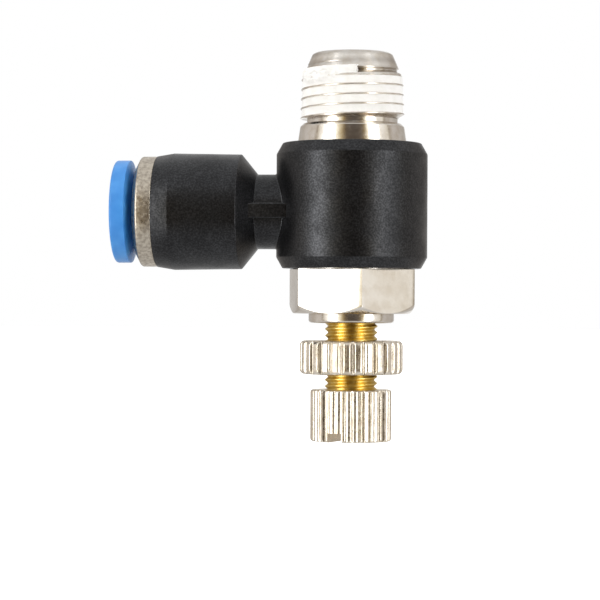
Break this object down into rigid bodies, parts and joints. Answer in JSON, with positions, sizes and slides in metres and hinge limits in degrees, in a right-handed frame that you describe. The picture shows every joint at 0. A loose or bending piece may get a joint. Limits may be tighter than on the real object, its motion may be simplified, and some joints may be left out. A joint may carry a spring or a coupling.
{
  "type": "flow control valve",
  "caption": "Elbow flow control valve: a push-in tube port swivels on a taper-threaded metal body with a knurled adjusting knob and lock nut.",
  "frame": {"origin": "on the pipe thread's axis at its gauge plane, 3.7 mm below the thread's small end", "axes": "+Z out of the pipe thread, -X out of the tube port"},
  "size_m": [0.0296, 0.0142, 0.0367],
  "materials": {
    "nickel_plated_brass": "bright nickel plating on turned brass",
    "thread_sealant": "matt dried sealant coat",
    "nitrile_rubber": "moulded rubber",
    "brass": "bright turned brass",
    "black_plastic": "satin glass-filled moulding",
    "stainless_steel": "pressed spring steel",
    "blue_plastic": "satin moulded acetal"
  },
  "bodies": {
    "body": {"valve_body": "nickel_plated_brass", "thread_sealant": "thread_sealant", "guide_bush": "nickel_plated_brass", "check_seal": "nitrile_rubber", "o_ring_upper": "nitrile_rubber", "o_ring_lower": "nitrile_rubber"},
    "needle_lift": {"needle_o_ring": "nitrile_rubber"},
    "adjuster": {"needle": "brass", "knob": "nickel_plated_brass"},
    "lock": {"lock_nut": "nickel_plated_brass"},
    "elbow": {"elbow_body": "black_plastic", "tube_seal": "nitrile_rubber", "claw_spacer": "black_plastic", "lock_claws": "stainless_steel", "port_collar": "nickel_plated_brass"},
    "release": {"release_ring": "blue_plastic"}
  },
  "joints": [
    {"name": "elbow_swivel", "type": "hinge", "parent": "body", "child": "elbow", "pos_m": [0, 0, -0.01134], "axis": [0, 0, 1], "continuous": true},
    {"name": "needle_travel", "type": "slide", "parent": "body", "child": "needle_lift", "axis": [0, 0, 1], "range_m": [-0.0038, 0.0008]},
    {"name": "knob_turn", "type": "hinge", "parent": "needle_lift", "child": "adjuster", "pos_m": [0, 0, -0.03], "axis": [0, 0, 1], "range_deg": [-2280, 480]},
    {"name": "lock_nut_travel", "type": "slide", "parent": "body", "child": "lock", "axis": [0, 0, 1], "range_m": [-0.0005, 0.00155]},
    {"name": "release_press", "type": "slide", "parent": "elbow", "child": "release", "axis": [1, 0, 0], "range_m": [0, 0.0005], "stiffness_N_per_m": 4000, "springref_m": -0.0005, "deforming": ["lock_claws"]}
  ],
  "couplings": [
    {"joint": "knob_turn", "follows": "needle_travel", "rad_per_m": 10472}
  ]
}
